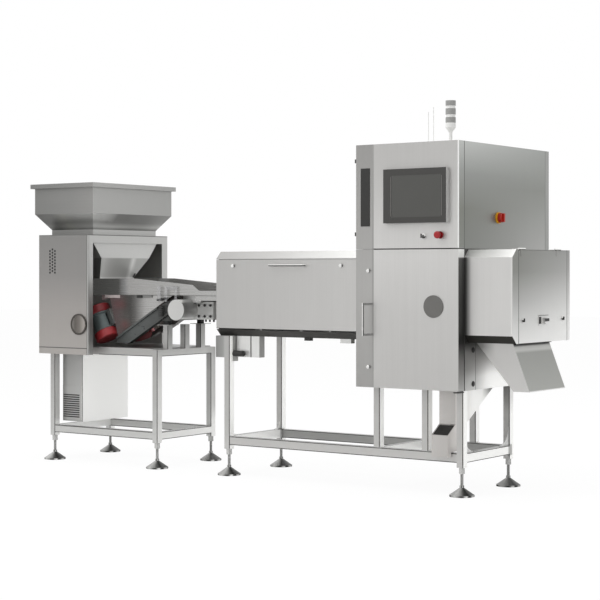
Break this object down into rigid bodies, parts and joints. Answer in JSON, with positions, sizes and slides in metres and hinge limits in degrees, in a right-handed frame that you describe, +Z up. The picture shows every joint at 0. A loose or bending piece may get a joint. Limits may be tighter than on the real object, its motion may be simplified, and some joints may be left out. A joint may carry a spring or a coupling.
{
  "type": "x-ray inspection machine",
  "caption": "Food x-ray inspection machine: standing cabinet with screen door, hooded belt tunnel, reject and outfeed chutes, fed by a vibrating tray under a hopper.",
  "frame": {"origin": "centre of the bounding box footprint, on the floor", "axes": "+X along the product flow, -Y toward the operator at the doors, +Z up"},
  "size_m": [3.3776, 1.08, 2.067],
  "materials": {
    "brushed": "brushed stainless sheet",
    "polished": "polished stainless",
    "dark_steel": "dark coated steel",
    "belt": "white food belt",
    "grey_box": "light grey paint",
    "white": "white",
    "lens": "grey lens",
    "yellow": "yellow",
    "black": "black",
    "glass": "window glass",
    "rubber": "black rubber",
    "band": "brushed dark band",
    "screen": "dark screen glass",
    "red": "red",
    "motor_grey": "grey green paint",
    "red_paint": "dark red paint"
  },
  "bodies": {
    "machine": {"main_frame": "brushed", "levelling_feet": "polished", "jam_nuts": "polished", "lower_housing": "brushed", "upper_housing": "brushed", "hinge_posts": "dark_steel", "infeed_hood": "brushed", "outfeed_hood": "brushed", "outfeed_chute": "brushed", "reject_duct": "brushed", "belt_bed": "brushed", "conveyor_belt": "belt", "belt_drive": "grey_box", "xray_generator": "grey_box", "line_detector": "grey_box", "air_manifold": "brushed", "cabinet_electrics": "grey_box", "beacon_stem": "white", "beacon_lenses": "lens", "antennas": "polished", "switch_plate": "yellow", "hood_fittings": "brushed", "dark_fittings": "black", "feeder_frame": "brushed", "feeder_case": "brushed", "hopper": "brushed", "window_ring": "polished", "window_glass": "glass", "electrical_box": "grey_box", "rubber_isolators": "rubber"},
    "upper_door": {"upper_door_panel": "brushed", "upper_door_band": "band", "upper_hinge_caps": "dark_steel", "blank_plate": "black", "screen_unit": "black", "screen_glass": "screen", "panel_collars": "dark_steel"},
    "stop_button": {"stop_button": "red"},
    "key_switch": {"key_switch": "polished"},
    "lower_door": {"lower_door_panel": "brushed", "lower_door_band": "band", "door_handle": "polished", "round_disc": "black"},
    "door_lock_low": {"door_lock_low": "polished"},
    "door_lock_high": {"door_lock_high": "polished"},
    "hood_cover": {"hood_cover": "brushed", "cover_handle": "polished"},
    "cover_lock_left": {"cover_lock_left": "polished"},
    "cover_lock_right": {"cover_lock_right": "polished"},
    "end_flap": {"end_flap": "brushed"},
    "flap_lock_near": {"flap_lock_near": "polished"},
    "flap_lock_far": {"flap_lock_far": "polished"},
    "switch_knob": {"switch_knob": "red"},
    "head_roller": {"head_roller": "polished"},
    "tail_roller": {"tail_roller": "polished"},
    "tray": {"tray": "brushed", "drive_beams": "dark_steel", "cross_tube": "brushed", "vibration_motors": "motor_grey", "motor_caps": "red_paint"}
  },
  "joints": [
    {"name": "upper_door_hinge", "type": "hinge", "parent": "machine", "child": "upper_door", "pos_m": [0.67425, -0.474, 1.571], "axis": [0, 0, -1], "range_deg": [0, 110]},
    {"name": "lower_door_hinge", "type": "hinge", "parent": "machine", "child": "lower_door", "pos_m": [1.30725, -0.474, 0.919], "axis": [0, 0, 1], "range_deg": [0, 95]},
    {"name": "door_lock_low_turn", "type": "hinge", "parent": "lower_door", "child": "door_lock_low", "pos_m": [0.76025, -0.48, 0.66], "axis": [0, 1, 0], "range_deg": [0, 90]},
    {"name": "door_lock_high_turn", "type": "hinge", "parent": "lower_door", "child": "door_lock_high", "pos_m": [0.76025, -0.48, 1.175], "axis": [0, 1, 0], "range_deg": [0, 90]},
    {"name": "cover_hinge", "type": "hinge", "parent": "machine", "child": "hood_cover", "pos_m": [0.17725, -0.412, 0.848], "axis": [1, 0, 0], "range_deg": [0, 95]},
    {"name": "cover_lock_left_turn", "type": "hinge", "parent": "hood_cover", "child": "cover_lock_left", "pos_m": [-0.20675, -0.418, 1.203], "axis": [0, 1, 0], "range_deg": [0, 90]},
    {"name": "cover_lock_right_turn", "type": "hinge", "parent": "hood_cover", "child": "cover_lock_right", "pos_m": [0.54025, -0.418, 1.203], "axis": [0, 1, 0], "range_deg": [0, 90]},
    {"name": "flap_hinge", "type": "hinge", "parent": "machine", "child": "end_flap", "pos_m": [1.59525, -0.075, 1.288], "axis": [0, -1, 0], "range_deg": [0, 110]},
    {"name": "flap_lock_near_turn", "type": "hinge", "parent": "end_flap", "child": "flap_lock_near", "pos_m": [1.59325, -0.302, 0.92], "axis": [-1, 0, 0], "range_deg": [0, 90]},
    {"name": "flap_lock_far_turn", "type": "hinge", "parent": "end_flap", "child": "flap_lock_far", "pos_m": [1.59325, 0.149, 0.92], "axis": [1, 0, 0], "range_deg": [0, 90]},
    {"name": "stop_press", "type": "slide", "parent": "upper_door", "child": "stop_button", "axis": [0, 1, 0], "range_m": [0, 0.004], "stiffness_N_per_m": 2500},
    {"name": "key_turn", "type": "hinge", "parent": "upper_door", "child": "key_switch", "pos_m": [1.10425, -0.48, 1.357], "axis": [0, 1, 0], "range_deg": [0, 60]},
    {"name": "main_switch_turn", "type": "hinge", "parent": "machine", "child": "switch_knob", "pos_m": [1.31325, -0.054, 1.459], "axis": [1, 0, 0], "range_deg": [0, 90]},
    {"name": "head_roller_spin", "type": "hinge", "parent": "machine", "child": "head_roller", "pos_m": [1.04825, -0.165, 0.953], "axis": [0, 1, 0], "continuous": true},
    {"name": "tail_roller_spin", "type": "hinge", "parent": "machine", "child": "tail_roller", "pos_m": [-0.18675, -0.165, 0.953], "axis": [0, 1, 0], "continuous": true},
    {"name": "tray_vibration", "type": "slide", "parent": "machine", "child": "tray", "axis": [0.866, 0, 0.5], "range_m": [0, 0.003], "stiffness_N_per_m": 300000}
  ],
  "couplings": [
    {"joint": "tail_roller_spin", "follows": "head_roller_spin", "ratio": 1}
  ]
}
